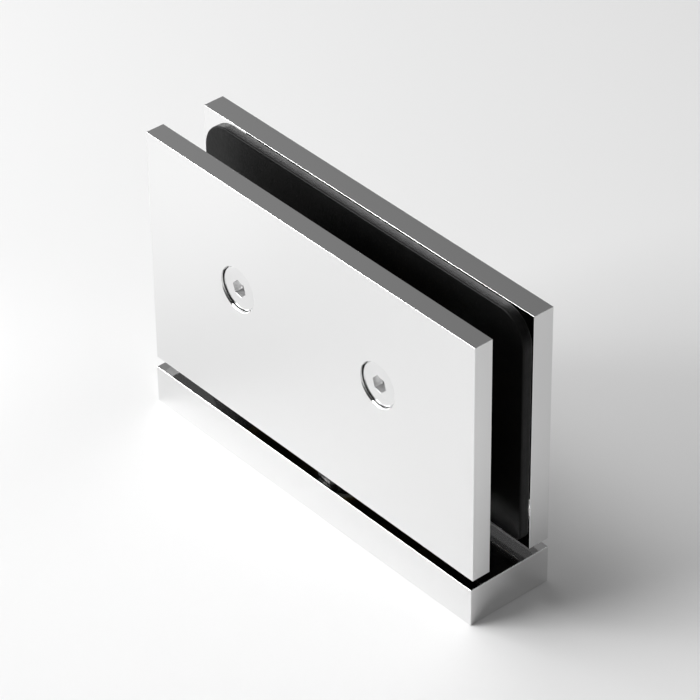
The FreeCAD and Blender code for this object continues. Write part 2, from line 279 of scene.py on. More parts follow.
def use(nodes, group, **values):
    """Places a shared effect in a material with its own values."""
    node = nodes.new("ShaderNodeGroup")
    node.node_tree = group
    for label, value in values.items():
        node.inputs[label].default_value = value
    return node


def grain_effect():
    """Height = cloudy noise of a given scale, for buffed, moulded and blasted skins."""
    group, enter, leave = effect("fine_grain", (("Scale", 900.0),), "Height", "NodeSocketFloat")
    cloud = cloud_of(group, enter.outputs["Scale"], detail=6.0)
    group.links.new(cloud, leave.inputs["Height"])
    return group


GRAIN = grain_effect()


def bumped(nodes, links, shader, height, strength, distance):
    """Feeds a height into the shader's normal."""
    bump = nodes.new("ShaderNodeBump")
    bump.inputs["Strength"].default_value = strength
    bump.inputs["Distance"].default_value = distance
    links.new(height, bump.inputs["Height"])
    links.new(bump.outputs["Normal"], shader.inputs["Normal"])


def polished_chrome():
    """Buffed and plated metal: a little haze, and the slow waves that a buffing wheel leaves."""
    made, nodes, links, shader = material("polished_chrome", CHROME_COLOUR, CHROME_ROUGHNESS, metallic=1.0)
    haze = use(nodes, HAZE, Middle=CHROME_ROUGHNESS, Spread=CHROME_HAZE, Scale=80.0)
    wave = use(nodes, GRAIN, Scale=110.0)
    links.new(haze.outputs["Roughness"], shader.inputs["Roughness"])
    bumped(nodes, links, shader, wave.outputs["Height"], strength=1.0, distance=CHROME_WAVE)
    return made


def pocket_hole(base_top):
    """The post's pocket: r = min(radius, half width / |sin a|) in the flatted part, round below it."""
    floor = base_top - POCKET_DEPTH
    sink_top = POST_SINK_RADIUS - POST_HOLE_RADIUS
    screw_line = [
        (POST_SINK_RADIUS + RIM_LEAD, 0),
        (POST_SINK_RADIUS, 0),
        (POST_HOLE_RADIUS, sink_top),
        (POST_HOLE_RADIUS, floor),
        (POST_HOLE_RADIUS + RIM_LEAD, floor),
    ]
    pocket_line = [
        (POCKET_RADIUS - RIM_LEAD, floor),
        (POCKET_RADIUS, floor),
        (POCKET_RADIUS, base_top),
        (POCKET_RADIUS + RIM_LEAD, base_top),
    ]

    def rows(angle):
        round_rows = round_hole((0, 0), eased(screw_line, RIM_EDGE))(angle)
        rows_above = round_hole((0, 0), eased(pocket_line, RIM_EDGE))(angle)
        grow = np.linalg.norm(rows_above[:, :, :2], axis=2) - POCKET_RADIUS
        across = np.maximum(np.abs(np.sin(angle)), SMALLEST_SINE)
        narrow = np.minimum(POCKET_RADIUS, POCKET_HALF_WIDTH / across)
        radius = narrow + grow
        flat = np.stack([radius * np.cos(angle), radius * np.sin(angle)], axis=-1)
        rows_above[:, :, :2] = flat
        return np.vstack([round_rows, rows_above])

    return rows


def base_plate():
    """Three cells side by side: the middle one round the post's pocket, one round each floor hole."""
    low, high = box_of("base_plate")
    top = high[2]
    hole_x = high[0] - FLOOR_HOLE_INSET
    sink_depth = FLOOR_SINK_RADIUS - FLOOR_HOLE_RADIUS
    floor_line = [
        (FLOOR_HOLE_RADIUS + RIM_LEAD, 0),
        (FLOOR_HOLE_RADIUS, 0),
        (FLOOR_HOLE_RADIUS, top - sink_depth),
        (FLOOR_SINK_RADIUS, top),
        (FLOOR_SINK_RADIUS + RIM_LEAD, top),
    ]
    floor_line = eased(floor_line, RIM_EDGE)
    cells = [((-hole_x / 2, low[1]), (hole_x / 2, high[1]), (0, 0), (0, 1, 0, 1), pocket_hole(top))]
    for side, outer in ((1, (1, 1, 0, 1)), (-1, (0, 1, 1, 1))):
        ends = sorted((side * hole_x / 2, side * high[0]))
        hole = round_hole((side * hole_x, 0), floor_line)
        cells.append(((ends[0], low[1]), (ends[1], high[1]), (side * hole_x, 0), outer, hole))
    return drilled_slab("base_plate_shown", cells, 0, top, BASE_EDGE, (0, 1, 2))


CHROME = polished_chrome()
fit(base_plate(), "base_plate", "base", CHROME)


# Pivot post
# A post turned from stainless bar, with four flats milled for the plungers and a flatted spigot
# that drops into the base. Fine tool rings stay on its turned faces.
POST_LOW, POST_HIGH = box_of("pivot_post")
POST_SPIGOT_RADIUS = 5.0 * MM
POST_SPIGOT_HALF_WIDTH = 4.0 * MM
POST_FLANGE_RADIUS = 7.0 * MM
POST_FLANGE_TOP = box_of("thrust_washer")[0][2]
POST_RADIUS = 4.0 * MM
POST_FLAT_DEPTH = 0.3 * MM
POST_NECK_RADIUS = 3.0 * MM
POST_THREAD_RADIUS = 2.52 * MM
POST_THREAD_TOP = 13.3 * MM
NECK_THREAD_RADIUS = 2.02 * MM
NECK_THREAD_DEPTH = 8.0 * MM
CAM_BOTTOM = box_of("lower_bush")[1][2]
CAM_TOP_GAP = 0.6 * MM
CAM_TOP = box_of("upper_bush")[0][2] - CAM_TOP_GAP
POST_EASE = 0.2 * MM
TURNED_COLUMNS = 96
AROUND = 2 * pi * np.arange(TURNED_COLUMNS) / TURNED_COLUMNS
HAZE_FINENESS = 3
STEEL_COLOUR = (0.34, 0.335, 0.33, 1)
STEEL_SHADE = (0.26, 0.255, 0.25, 1)
STEEL_RING = 0.2 * MM


def ring_effect():
    """Height = sine of the distance from an axis over the ring spacing, for tool marks."""
    group, enter, leave = effect("tool_rings", (("Spacing", 0.0002),), "Height", "NodeSocketFloat")
    socket = group.interface.new_socket("Vector", in_out="INPUT", socket_type="NodeSocketVector")
    socket.default_value = (0, 0, 0)
    far = group.nodes.new("ShaderNodeVectorMath")
    far.operation = "LENGTH"
    group.links.new(enter.outputs["Vector"], far.inputs[0])
    phase = maths(group, "DIVIDE", far.outputs["Value"], enter.outputs["Spacing"])
    wave = maths(group, "SINE", maths(group, "MULTIPLY", phase, 2 * pi), 0.0)
    group.links.new(wave, leave.inputs["Height"])
    return group


def tint_effect():
    """Colour = a clean and a dull colour mixed by a cloud, for tarnish and handling."""
    group, enter, leave = effect("drifting_tint", (("Scale", 120.0),), "Color", "NodeSocketColor")
    for label in ("Clean", "Dull"):
        group.interface.new_socket(label, in_out="INPUT", socket_type="NodeSocketColor")
    mix = group.nodes.new("ShaderNodeMix")
    mix.data_type = "RGBA"
    cloud = cloud_of(group, enter.outputs["Scale"], detail=5.0)
    group.links.new(cloud, mix.inputs["Factor"])
    group.links.new(enter.outputs["Clean"], mix.inputs["A"])
    group.links.new(enter.outputs["Dull"], mix.inputs["B"])
    group.links.new(mix.outputs["Result"], leave.inputs["Color"])
    return group


RINGS = ring_effect()
TINT = tint_effect()


def ringed(nodes, links, centre, across, spacing):
    """Tool rings round a centre, with the axis flattened out of the vector."""
    place = nodes.new("ShaderNodeTexCoord")
    mapping = nodes.new("ShaderNodeMapping")
    mapping.vector_type = "TEXTURE"
    mapping.inputs["Location"].default_value = centre
    flat = nodes.new("ShaderNodeVectorMath")
    flat.operation = "MULTIPLY"
    flat.inputs[1].default_value = across
    rings = use(nodes, RINGS, Spacing=spacing)
    links.new(place.outputs["Object"], mapping.inputs["Vector"])
    links.new(mapping.outputs["Vector"], flat.inputs[0])
    links.new(flat.outputs["Vector"], rings.inputs["Vector"])
    return rings.outputs["Height"]


def metal(name, clean, dull, roughness, spread, scale):
    """A bare metal whose colour and roughness drift."""
    made, nodes, links, shader = material(name, clean, roughness, metallic=1.0)
    tint = use(nodes, TINT, Scale=scale, Clean=clean, Dull=dull)
    haze = use(nodes, HAZE, Middle=roughness, Spread=spread, Scale=HAZE_FINENESS * scale)
    links.new(tint.outputs["Color"], shader.inputs["Base Color"])
    links.new(haze.outputs["Roughness"], shader.inputs["Roughness"])
    return made, nodes, links, shader


def post_steel():
    """Turned stainless steel, ringed along the post's length."""
    made, nodes, links, shader = metal(
        "post_steel", STEEL_COLOUR, STEEL_SHADE, roughness=0.26, spread=0.14, scale=150.0
    )
    rings = ringed(nodes, links, centre=(0, 0, 0), across=(0, 0, 1), spacing=STEEL_RING)
    bumped(nodes, links, shader, rings, strength=0.3, distance=0.00001)
    return made


def pivot_post():
    """A turned line from pole to pole, narrowed to r = flat / max(|cos|, |sin|) beside the plungers
    and to half width / |sin| in the spigot."""
    low, top = POST_LOW[2], POST_HIGH[2]
    base_top = box_of("base_plate")[1][2]
    spigot = eased(
        [
            (0, POST_THREAD_TOP),
            (POST_THREAD_RADIUS, POST_THREAD_TOP),
            (POST_THREAD_RADIUS, low),
            (POST_SPIGOT_RADIUS, low),
            (POST_SPIGOT_RADIUS, base_top),
        ],
        POST_EASE,
    )
    above = eased(
        [
            (POST_SPIGOT_RADIUS, base_top),
            (POST_FLANGE_RADIUS, base_top),
            (POST_FLANGE_RADIUS, POST_FLANGE_TOP),
            (POST_RADIUS, POST_FLANGE_TOP),
            (POST_RADIUS, CAM_BOTTOM),
        ],
        POST_EASE,
    )
    cam = np.array([(POST_RADIUS, CAM_BOTTOM), (POST_RADIUS, CAM_TOP)])
    neck = eased(
        [
            (POST_RADIUS, CAM_TOP),
            (POST_NECK_RADIUS, CAM_TOP),
            (POST_NECK_RADIUS, top),
            (NECK_THREAD_RADIUS, top),
            (NECK_THREAD_RADIUS, top - NECK_THREAD_DEPTH),
            (0, top - NECK_THREAD_DEPTH),
        ],
        POST_EASE,
    )
    parts = [round_hole((0, 0), line)(AROUND) for line in (spigot, above, cam, neck)]
    across = np.abs(np.sin(AROUND))
    spigot_limit = POST_SPIGOT_HALF_WIDTH / np.maximum(across, SMALLEST_SINE)
    cam_limit = (POST_RADIUS - POST_FLAT_DEPTH) / np.maximum(across, np.abs(np.cos(AROUND)))
    for part, limit in ((parts[0], spigot_limit), (parts[2], cam_limit)):
        radius = np.linalg.norm(part[:, :, :2], axis=2)
        share = np.minimum(radius, limit) / np.maximum(radius, MERGE)
        part[:, :, :2] *= share[:, :, None]
    return skin("pivot_post_shown", [(np.vstack(parts), None)], closed=False)


POST_STEEL = post_steel()
fit(pivot_post(), "pivot_post", "base", POST_STEEL)


# Post screw
# A countersunk socket screw that comes up from under the base and draws the post down.
# Bright zinc-plated steel with a rolled thread and a forged hexagon socket.
POST_SCREW_RADIUS = 2.5 * MM
POST_SCREW_LENGTH = 12.0 * MM
POST_SCREW_PITCH = 0.8 * MM
POST_SCREW_HEAD_RADIUS = 4.8 * MM
POST_SCREW_HEX = 3.0 * MM
SCREW_COLOUR = (0.62, 0.62, 0.61, 1)
SCREW_SHADE = (0.45, 0.45, 0.46, 1)
SCREW_EDGE = 0.12 * MM
THREAD_SHARE = 0.55
THREAD_STEPS = 8
THREAD_FLANK = 1.25
THREAD_CREST = 0.15
THREAD_END = 0.3
TIP_CHAMFER = 0.6
HEAD_FLAT_SHARE = 0.75
HEAD_RIM = 0.3 * MM
HEAD_SHOULDER = 0.3 * MM
SHOULDER_DROP = 0.4
SOCKET_SHARE = 0.6
SOCKET_FLOOR_SHARE = 0.97
SOCKET_MOUTH_SHARE = 1.02
SOCKET_DISH = 0.25 * MM
SOCKET_FLOOR_EASE = 0.1 * MM
SOCKET_MOUTH_EASE = 0.04 * MM


def grained_metal(name, clean, dull, roughness, spread, scale, grain, strength, distance):
    """A bare metal with a cloudy grain in its skin, as plating, drawing and sintering leave it."""
    made, nodes, links, shader = metal(name, clean, dull, roughness, spread, scale)
    height = use(nodes, GRAIN, Scale=grain).outputs["Height"]
    bumped(nodes, links, shader, height, strength, distance)
    return made


def carried_round(radii, heights, start, along, across):
    """Rows of loops round an axis: start + height x along + radius x (cos a across + sin a side)."""
    side = np.cross(along, across)
    spoke = np.cos(AROUND)[:, None] * across + np.sin(AROUND)[:, None] * side
    return np.array(start) + radii[:, :, None] * spoke + heights[:, None, None] * np.array(along)


def screw(name, head, radius, length, pitch, socket, start, along, across, hex_turn=0.0):
    """Rows of loops from the socket's floor to the tip. The socket is r = (w/2) / cos(a - nearest
    flat), and the thread r = R - depth x triangle(z/pitch - a/2pi), faded at both ends.
    Head is the (radius, height) line of the head, with the head's top first."""
    top = head[0][1]
    hex_width, depth = socket
    hexagon = hex_width / 2 / np.cos((AROUND - hex_turn) % (pi / 3) - pi / 6)
    floor = top + depth
    socket_radius = np.outer((0, SOCKET_FLOOR_SHARE, 1, 1, SOCKET_MOUTH_SHARE), hexagon)
    socket_height = np.array(
        [floor + SOCKET_DISH, floor, floor - SOCKET_FLOOR_EASE, top + SOCKET_MOUTH_EASE, top]
    )
    line = eased(head[1:], SCREW_EDGE)
    shank_start = line[-1][1]
    turns = int((length - shank_start) / pitch * THREAD_STEPS)
    height = np.linspace(shank_start, length - THREAD_END * pitch, turns)
    wave = np.abs(2 * ((height[:, None] / pitch - AROUND / (2 * pi)) % 1) - 1)
    fade = np.clip(np.minimum(height - shank_start, length - height) / pitch, 0, 1)[:, None]
    cut = np.clip(THREAD_FLANK * wave - THREAD_CREST, 0, 1)
    thread = radius - THREAD_SHARE * pitch * cut * fade
    tip = np.array([(radius - TIP_CHAMFER * pitch, length), (0, length)])
    radii = np.vstack([socket_radius, line[:, :1] + 0 * AROUND, thread, tip[:, :1] + 0 * AROUND])
    heights = np.concatenate([socket_height, line[:, 1], height, tip[:, 1]])
    return skin(name, [(carried_round(radii, heights, start, along, across), None)], closed=False)


def countersunk_head(radius, head_radius):
    """The line of a 90 degree head whose top is at height 0, with a soft shoulder at its rim."""
    return [
        (0, 0),
        (HEAD_FLAT_SHARE * head_radius, 0),
        (head_radius - HEAD_SHOULDER, 0),
        (head_radius, SHOULDER_DROP * HEAD_SHOULDER),
        (head_radius, HEAD_RIM),
        (radius, HEAD_RIM + head_radius - radius),
    ]


X, Y, Z = np.eye(3)
SCREW_STEEL = grained_metal(
    "screw_steel", SCREW_COLOUR, SCREW_SHADE,
    roughness=0.22, spread=0.12, scale=220.0, grain=2500.0, strength=0.15, distance=0.00003,
)
post_screw = screw(
    "post_screw_shown",
    head=countersunk_head(POST_SCREW_RADIUS, POST_SCREW_HEAD_RADIUS),
    radius=POST_SCREW_RADIUS,
    length=POST_SCREW_LENGTH,
    pitch=POST_SCREW_PITCH,
    socket=(POST_SCREW_HEX, SOCKET_SHARE * POST_SCREW_HEX),
    start=box_of("post_screw")[0][2] * Z,
    along=Z,
    across=X,
)
fit(post_screw, "post_screw", "base", SCREW_STEEL)


# Thrust washer
# A white acetal washer that carries the clamp on the post's flange and lets it turn quietly.
# Moulded, with a faint cloudiness and soft edges.
WASHER_COLOUR = (0.78, 0.77, 0.74, 1)
WASHER_SHADE = (0.66, 0.64, 0.6, 1)
WASHER_ROUGHNESS = 0.38
WASHER_EASE = 0.12 * MM
JOURNAL_BORE = 4.04 * MM


def white_plastic():
    """Moulded acetal: a little light enters it, and its skin is faintly cloudy and grained."""
    made, nodes, links, shader = material("white_plastic", WASHER_COLOUR, WASHER_ROUGHNESS)
    shader.inputs["Subsurface Weight"].default_value = 0.15
    tint = use(nodes, TINT, Scale=90.0, Clean=WASHER_COLOUR, Dull=WASHER_SHADE)
    haze = use(nodes, HAZE, Middle=WASHER_ROUGHNESS, Spread=0.15, Scale=300.0)
    grain = use(nodes, GRAIN, Scale=4000.0)
    links.new(tint.outputs["Color"], shader.inputs["Base Color"])
    links.new(haze.outputs["Roughness"], shader.inputs["Roughness"])
    bumped(nodes, links, shader, grain.outputs["Height"], strength=0.2, distance=0.00004)
    return made


def collar(name, inner, outer, length, ease, start, along, across):
    """A tube as its wall's eased rectangle of (radius, height) carried round an axis."""
    middle = length / 2
    wall = [(inner, middle), (inner, 0), (outer, 0), (outer, length), (inner, length), (inner, middle)]
    line = eased(wall, ease)[:-1]
    return skin(name, [(carried_round(line[:, :1], line[:, 1], start, along, across), None)])


def upright_collar(node, inner, ease):
    """A collar round the post that fills a node's box."""
    low, high = box_of(node)
    outer = (high[0] - low[0]) / 2
    return collar(node + "_shown", inner, outer, high[2] - low[2], ease, low[2] * Z, Z, X)


WHITE_PLASTIC = white_plastic()
thrust_washer = upright_collar("thrust_washer", JOURNAL_BORE, WASHER_EASE)
fit(thrust_washer, "thrust_washer", "base", WHITE_PLASTIC)


# Retaining washer and screw
# A steel washer held on the post's end by a low cap screw, which keeps the clamp from lifting.
# Both are zinc-plated like the post screw, and the screw's thread is rolled.
RETAINING_BORE = 2.04 * MM
RETAINING_EASE = 0.1 * MM
RETAINING_SCREW_LENGTH = 8.0 * MM
RETAINING_HEAD_HEIGHT = 2.0 * MM
RETAINING_HEX = 2.5 * MM
CAP_SCREW_RADIUS = 2.0 * MM
CAP_SCREW_PITCH = 0.7 * MM
CAP_HEAD_RADIUS = 3.5 * MM
CAP_SHANK_START = 0.6 * MM

retaining_washer = upright_collar("retaining_washer", RETAINING_BORE, RETAINING_EASE)
fit(retaining_washer, "retaining_washer", "base", SCREW_STEEL)


def cap_head(head_height):
    """The line of a cap head whose underside is at height 0, down to the start of its shank."""
    return [
        (0, -head_height),
        (HEAD_FLAT_SHARE * CAP_HEAD_RADIUS, -head_height),
        (CAP_HEAD_RADIUS, -head_height),
        (CAP_HEAD_RADIUS, 0),
        (CAP_SCREW_RADIUS, 0),
        (CAP_SCREW_RADIUS, CAP_SHANK_START),
    ]


retaining_screw = screw(
    "retaining_screw_shown",
    head=cap_head(RETAINING_HEAD_HEIGHT),
    radius=CAP_SCREW_RADIUS,
    length=RETAINING_SCREW_LENGTH,
    pitch=CAP_SCREW_PITCH,
    socket=(RETAINING_HEX, SOCKET_SHARE * RETAINING_HEAD_HEIGHT),
    start=box_of("retaining_washer")[1][2] * Z,
    along=-Z,
    across=X,
)
fit(retaining_screw, "retaining_screw", "base", SCREW_STEEL)


# Hinge body
# The brass block between the plates, milled on its faces and bored for the post, the plungers
# and its two screws. It stays hidden in the glass's notch, so it is left bare and tarnishes.
BRASS_COLOUR = (0.75, 0.56, 0.28, 1)
BRASS_TARNISH = (0.5, 0.35, 0.17, 1)
CUTTER_MARK = 0.25 * MM


def body_brass():
    """Milled brass: fine cutter marks run along the block."""
    made, nodes, links, shader = metal(
        "body_brass", BRASS_COLOUR, BRASS_TARNISH, roughness=0.3, spread=0.16, scale=70.0
    )
    marks = ringed(nodes, links, centre=(0, 0, 0), across=(0, 1, 1), spacing=CUTTER_MARK)
    bumped(nodes, links, shader, marks, strength=0.3, distance=0.00003)
    return made


BRASS = body_brass()
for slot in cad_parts["hinge_body"].material_slots:
    slot.material = BRASS


# Bushes
# Two sintered bronze bushes pressed into the pivot bore, dull and speckled with pores.
# The lower one runs on the post's journal, and the upper one on its neck.
BRONZE_COLOUR = (0.48, 0.31, 0.17, 1)
BRONZE_SHADE = (0.3, 0.18, 0.1, 1)
BUSH_EASE = 0.2 * MM
NECK_BORE = 3.04 * MM

BRONZE = grained_metal(
    "bush_bronze", BRONZE_COLOUR, BRONZE_SHADE,
    roughness=0.45, spread=0.2, scale=900.0, grain=3500.0, strength=0.5, distance=0.00006,
)
fit(upright_collar("lower_bush", JOURNAL_BORE, BUSH_EASE), "lower_bush", "clamp", BRONZE)
fit(upright_collar("upper_bush", NECK_BORE, BUSH_EASE), "upper_bush", "clamp", BRONZE)


# Plungers
# Two turned steel plungers that the springs press on the post's flats, each with a flat nose
# and a stub that centres its spring.
PLUNGER_RADIUS = 3.45 * MM
PLUNGER_LENGTH = 9.0 * MM
PLUNGER_STUB_RADIUS = 1.9 * MM
PLUNGER_STUB_LENGTH = 2.0 * MM
PLUNGER_EASE = 0.25 * MM
SIDES = (("left", -1), ("right", 1))


def plunger_steel():
    """The post's steel, with its tool rings spaced along the cross bore."""
    made, nodes, links, shader = metal(
        "plunger_steel", STEEL_COLOUR, STEEL_SHADE, roughness=0.24, spread=0.14, scale=150.0
    )
    rings = ringed(nodes, links, centre=(0, 0, 0), across=(1, 0, 0), spacing=STEEL_RING)
    bumped(nodes, links, shader, rings, strength=0.2, distance=0.00001)
    return made


PLUNGER_STEEL = plunger_steel()
plunger_end = PLUNGER_LENGTH + PLUNGER_STUB_LENGTH
plunger_line = eased(
    [
        (0, 0),
        (PLUNGER_RADIUS, 0),
        (PLUNGER_RADIUS, PLUNGER_LENGTH),
        (PLUNGER_STUB_RADIUS, PLUNGER_LENGTH),
        (PLUNGER_STUB_RADIUS, plunger_end),
        (0, plunger_end),
    ],
    PLUNGER_EASE,
)
for name, side in SIDES:
    low, high = box_of("plunger_" + name)
    nose = min(abs(low[0]), abs(high[0]))
    start = (side * nose, 0, (low[2] + high[2]) / 2)
    rows = carried_round(plunger_line[:, :1], plunger_line[:, 1], start, side * X, Z)
    piece = skin("plunger_" + name + "_shown", [(rows, None)], closed=False)
    fit(piece, "plunger_" + name, name + "_detent", PLUNGER_STEEL)


# Springs
# Two compression springs of drawn steel wire, five turns with the end turns closed,
# between each plunger and its grub screw. They shorten as the plunger slides out.
WIRE_RADIUS = 0.5 * MM
WIRE_COLUMNS = 16
SPRING_TURNS = 5
CLOSED_TURNS = 1
SPRING_STEPS = 36
CLOSED_RISE = 2.04 * WIRE_RADIUS * CLOSED_TURNS
WIRE_COLOUR = (0.3, 0.3, 0.31, 1)
WIRE_SHADE = (0.2, 0.2, 0.22, 1)


def spring(name, side):
    """A wire's circle carried along a helix, whose rise is small in the closed end turns.
    centre = (height(t), R sin 2pi t, R cos 2pi t), and the circle stands across the tangent."""
    low, high = box_of("spring_" + name)
    inner, outer = sorted((abs(low[0]), abs(high[0])))
    coil = (high[2] - low[2]) / 2 - WIRE_RADIUS
    axis_height = (low[2] + high[2]) / 2
    turn = np.linspace(0, SPRING_TURNS, SPRING_TURNS * SPRING_STEPS + 1)
    length = outer - inner - 2 * WIRE_RADIUS
    knots = [0, CLOSED_TURNS, SPRING_TURNS - CLOSED_TURNS, SPRING_TURNS]
    rises = [0, CLOSED_RISE, length - CLOSED_RISE, length]
    along = inner + WIRE_RADIUS + np.interp(turn, knots, rises)
    angle = 2 * pi * turn
    outward = np.stack([0 * angle, np.sin(angle), np.cos(angle)], axis=1)
    centre = coil * outward + along[:, None] * side * X + axis_height * Z
    tangent = np.gradient(centre, axis=0)
    tangent /= np.linalg.norm(tangent, axis=1, keepdims=True)
    lateral = np.cross(tangent, outward)
    round_wire = 2 * pi * np.arange(WIRE_COLUMNS) / WIRE_COLUMNS
    rim = np.cos(round_wire)[:, None] * outward[:, None] + np.sin(round_wire)[:, None] * lateral[:, None]
    grid = centre[:, None] + WIRE_RADIUS * rim
    piece = skin("spring_" + name + "_shown", [(grid, None)], closed=False, capped=True)
    fit(piece, "spring_" + name, "clamp", SPRING_WIRE)
    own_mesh(piece)


SPRING_WIRE = grained_metal(
    "spring_wire", WIRE_COLOUR, WIRE_SHADE,
    roughness=0.28, spread=0.12, scale=400.0, grain=3000.0, strength=0.2, distance=0.00003,
)
spring("left", -1)
spring("right", 1)


# Grub screws
# Blackened steel set screws, threaded all along, which close the cross bore and set the
# springs' load. Each has a hexagon socket at its outer end.
GRUB_RADIUS = 4.0 * MM
GRUB_PITCH = 1.25 * MM
GRUB_CHAMFER = 0.4 * MM
GRUB_HEX = 4.0 * MM
OXIDE_COLOUR = (0.07, 0.07, 0.075, 1)
OXIDE_SHADE = (0.035, 0.035, 0.04, 1)

BLACK_OXIDE = grained_metal(
    "black_oxide", OXIDE_COLOUR, OXIDE_SHADE,
    roughness=0.35, spread=0.2, scale=200.0, grain=2500.0, strength=0.3, distance=0.00004,
)
grub_head = [
    (0, 0),
    (HEAD_FLAT_SHARE * GRUB_RADIUS, 0),
    (GRUB_RADIUS - GRUB_CHAMFER, 0),
    (GRUB_RADIUS, GRUB_CHAMFER),
]
for name, side in SIDES:
    low, high = box_of("grub_screw_" + name)
    outer_end = max(abs(low[0]), abs(high[0]))
    piece = screw(
        "grub_screw_" + name + "_shown",
        head=grub_head,
        radius=GRUB_RADIUS,
        length=high[0] - low[0],
        pitch=GRUB_PITCH,
        socket=(GRUB_HEX, SOCKET_SHARE * GRUB_HEX),
        start=(side * outer_end, 0, (low[2] + high[2]) / 2),
        along=-side * X,
        across=Z,
    )
    fit(piece, "grub_screw_" + name, "clamp", BLACK_OXIDE)


# Rear plate
# The thicker chrome plate. Two bosses on its inner face are tapped for the clamp screws,
# and two blind holes below them for the body's screws.
PLATE_EDGE = 0.09 * MM
REAR_LOW, REAR_HIGH = box_of("rear_plate")
SLOT_REAR = box_of("rear_gasket")[1][1]
BOSS_RADIUS = 4.6 * MM
BOSS_BORE = 3.02 * MM
BOSS_BORE_END = 5.95 * MM
BODY_BORE = 2.02 * MM
BODY_BORE_END = 10.02 * MM
CLAMP_SCREW_LOW, CLAMP_SCREW_HIGH = box_of("clamp_screw_right")
CLAMP_SCREW_X = (CLAMP_SCREW_LOW[0] + CLAMP_SCREW_HIGH[0]) / 2
CLAMP_SCREW_Z = (CLAMP_SCREW_LOW[2] + CLAMP_SCREW_HIGH[2]) / 2
BODY_SCREW_LOW, BODY_SCREW_HIGH = box_of("body_screw_right")
BODY_SCREW_X = (BODY_SCREW_LOW[0] + BODY_SCREW_HIGH[0]) / 2
BODY_SCREW_Z = (BODY_SCREW_LOW[2] + BODY_SCREW_HIGH[2]) / 2
# Painted shade: the plates' downward faces on their lower edge get a darker chrome, so the gap under them
# reads dark.
UNDERSIDE_SHADE_COLOUR = (0.36, 0.36, 0.36, 1)
UNDERSIDE_ROUGHNESS = 0.08
FACING_DOWN = -0.9


def shaded_underside_chrome():
    """Darker, rougher, grained chrome on the plates' ground lower edge; its dark colour is painted shade
    for the gap under the plates.
    """
    made, nodes, links, shader = material(
        "shaded_underside_chrome", UNDERSIDE_SHADE_COLOUR, UNDERSIDE_ROUGHNESS, metallic=1.0
    )
    haze = use(nodes, HAZE, Middle=UNDERSIDE_ROUGHNESS, Spread=0.06, Scale=200.0)
    grain = use(nodes, GRAIN, Scale=1500.0)
    links.new(haze.outputs["Roughness"], shader.inputs["Roughness"])
    bumped(nodes, links, shader, grain.outputs["Height"], strength=0.3, distance=0.00001)
    return made


SHADED_UNDERSIDE_CHROME = shaded_underside_chrome()


def paint_underside_shade(piece, bottom):
    """Gives the darker chrome of painted shade to the faces that lie on a plate's lower edge."""
    mesh = piece.data
    centre, normal = np.empty((2, 3 * len(mesh.polygons)))
    mesh.polygons.foreach_get("center", centre)
    mesh.polygons.foreach_get("normal", normal)
    under = (centre[2::3] < bottom + PLATE_EDGE) & (normal[2::3] < FACING_DOWN)
    mesh.materials.append(SHADED_UNDERSIDE_CHROME)
    mesh.polygons.foreach_set("material_index", under.astype(np.int32))


def rear_plate():
    """Four cells meet at the plate's middle line and halfway between the bosses and the holes."""
    boss_end = REAR_LOW[1]
    boss_line = eased(
        [
            (BOSS_RADIUS + RIM_LEAD, SLOT_REAR),
            (BOSS_RADIUS, SLOT_REAR),
            (BOSS_RADIUS, boss_end),
            (BOSS_BORE, boss_end),
            (BOSS_BORE, BOSS_BORE_END),
            (0, BOSS_BORE_END),
            (0, REAR_HIGH[1]),
        ],
        RIM_EDGE,
    )
    body_line = eased(
        [
            (BODY_BORE + RIM_LEAD, SLOT_REAR),
            (BODY_BORE, SLOT_REAR),
            (BODY_BORE, BODY_BORE_END),
            (0, BODY_BORE_END),
            (0, REAR_HIGH[1]),
        ],
        RIM_EDGE,
    )
    middle = (CLAMP_SCREW_Z + BODY_SCREW_Z) / 2
    between = (CLAMP_SCREW_X + BODY_SCREW_X) / 2
    cells = []
    for side, right, left in ((1, 1, 0), (-1, 0, 1)):
        x_low, x_high = sorted((0, side * REAR_HIGH[0]))
        upper = round_hole((side * CLAMP_SCREW_X, CLAMP_SCREW_Z), boss_line)
        lower = round_hole((side * BODY_SCREW_X, BODY_SCREW_Z), body_line)
        upper_origin = (side * between, CLAMP_SCREW_Z)
        lower_origin = (side * between, BODY_SCREW_Z)
        cells.append(((x_low, middle), (x_high, REAR_HIGH[2]), upper_origin, (right, 1, left, 0), upper))
        cells.append(((x_low, REAR_LOW[2]), (x_high, middle), lower_origin, (right, 0, left, 1), lower))
    return drilled_slab("rear_plate_shown", cells, SLOT_REAR, REAR_HIGH[1], PLATE_EDGE, (0, 2, 1))


rear_piece = rear_plate()
fit(rear_piece, "rear_plate", "clamp", CHROME)
# Painted shade on the rear plate's lower edge.
paint_underside_shade(rear_piece, REAR_LOW[2])


# Body screws
# Two cap screws that hold the hinge body to the rear plate, under the front plate.
# Zinc-plated steel with rolled threads, their heads let into the body's counterbores.
BODY_SCREW_LENGTH = 12.0 * MM
BODY_HEAD_HEIGHT = 4.0 * MM
BODY_HEX = 3.0 * MM

for name, side in SIDES:
    piece = screw(
        "body_screw_" + name + "_shown",
        head=cap_head(BODY_HEAD_HEIGHT),
        radius=CAP_SCREW_RADIUS,
        length=BODY_SCREW_LENGTH,
        pitch=CAP_SCREW_PITCH,
        socket=(BODY_HEX, SOCKET_SHARE * BODY_HEAD_HEIGHT),
        start=(side * BODY_SCREW_X, BODY_SCREW_HIGH[1] - BODY_SCREW_LENGTH, BODY_SCREW_Z),
        along=Y,
        across=X,
    )
    fit(piece, "body_screw_" + name, "clamp", SCREW_STEEL)


# Sleeves
# White plastic sleeves slipped over the bosses, so that the glass never touches metal.
# Moulded like the thrust washer, with soft edges at both ends.
SLEEVE_PLAY = 0.04 * MM
SLEEVE_EASE = 0.25 * MM

